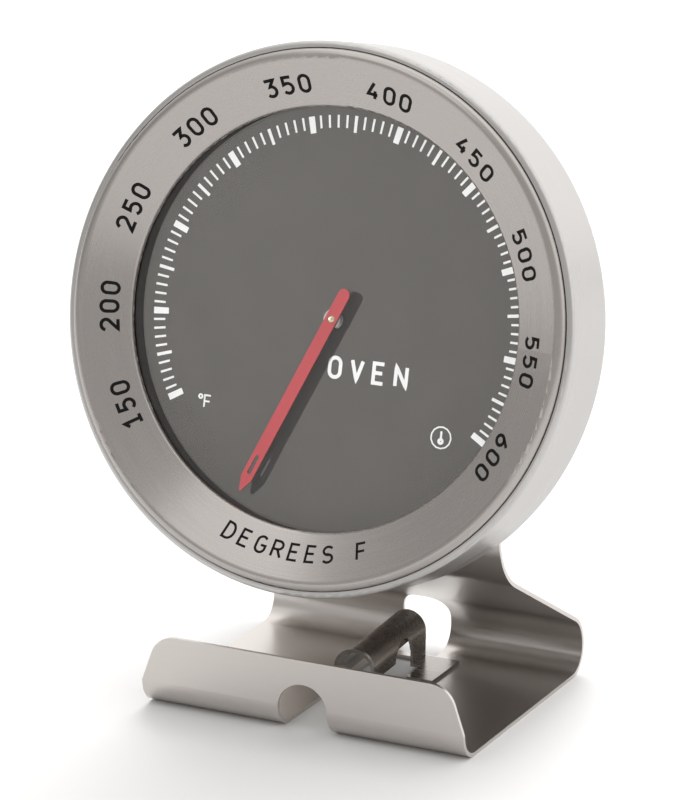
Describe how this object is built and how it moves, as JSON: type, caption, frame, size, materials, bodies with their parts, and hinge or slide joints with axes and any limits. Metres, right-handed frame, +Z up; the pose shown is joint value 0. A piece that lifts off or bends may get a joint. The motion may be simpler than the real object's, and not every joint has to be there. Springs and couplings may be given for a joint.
{
  "type": "oven thermometer",
  "caption": "Round dial oven thermometer leaning back on a bent sheet-steel stand with a notch and sprung clip for a rack wire.",
  "frame": {"origin": "middle of the footprint of the whole object, on the surface it stands on", "axes": "+Z up, +X to the right of a person reading the dial, +Y towards the back of the stand; the dial faces -Y and leans back 12.7 degrees"},
  "size_m": [0.082, 0.0512, 0.1036],
  "materials": {
    "case_steel": "satin stainless sheet, fine lines running round the wall",
    "bezel_steel": "brushed stainless with a polished bead",
    "stand_steel": "mill-finish stainless, faint lines across the width",
    "clip_steel": "spring steel, darker than the stand",
    "plain_steel": "plain bright",
    "bearing_brass": "turned",
    "bimetal": "rolled strip",
    "lens": "clear flat glass",
    "gasket": "matt black high-temperature seal",
    "black_paint": "matt black",
    "dial_paint": "satin warm dark grey",
    "pointer_paint": "satin red"
  },
  "bodies": {
    "case": {"case_cup": "case_steel", "bezel_ring": "bezel_steel", "lens_gasket": "gasket", "lens_glass": "lens", "spacer_ring": "black_paint", "dial_plate": "dial_paint", "dial_posts": "plain_steel", "front_bush": "plain_steel", "bridge": "plain_steel", "rear_bush": "bearing_brass", "bimetal_coil": "bimetal", "anchor_post": "plain_steel", "stand": "stand_steel", "stand_rivets": "plain_steel", "rack_clip": "clip_steel"},
    "pointer_assembly": {"arbor": "bearing_brass", "pointer": "pointer_paint", "pointer_hub": "plain_steel", "coil_collet": "bearing_brass"}
  },
  "joints": [
    {"name": "pointer_turn", "type": "hinge", "parent": "case", "child": "pointer_assembly", "pos_m": [0, -0.01369, 0.0632], "axis": [0, 0.9755, -0.2198], "range_deg": [-25, 280], "stiffness_Nm_per_rad": 0.001, "deforming": ["bimetal_coil"]}
  ]
}
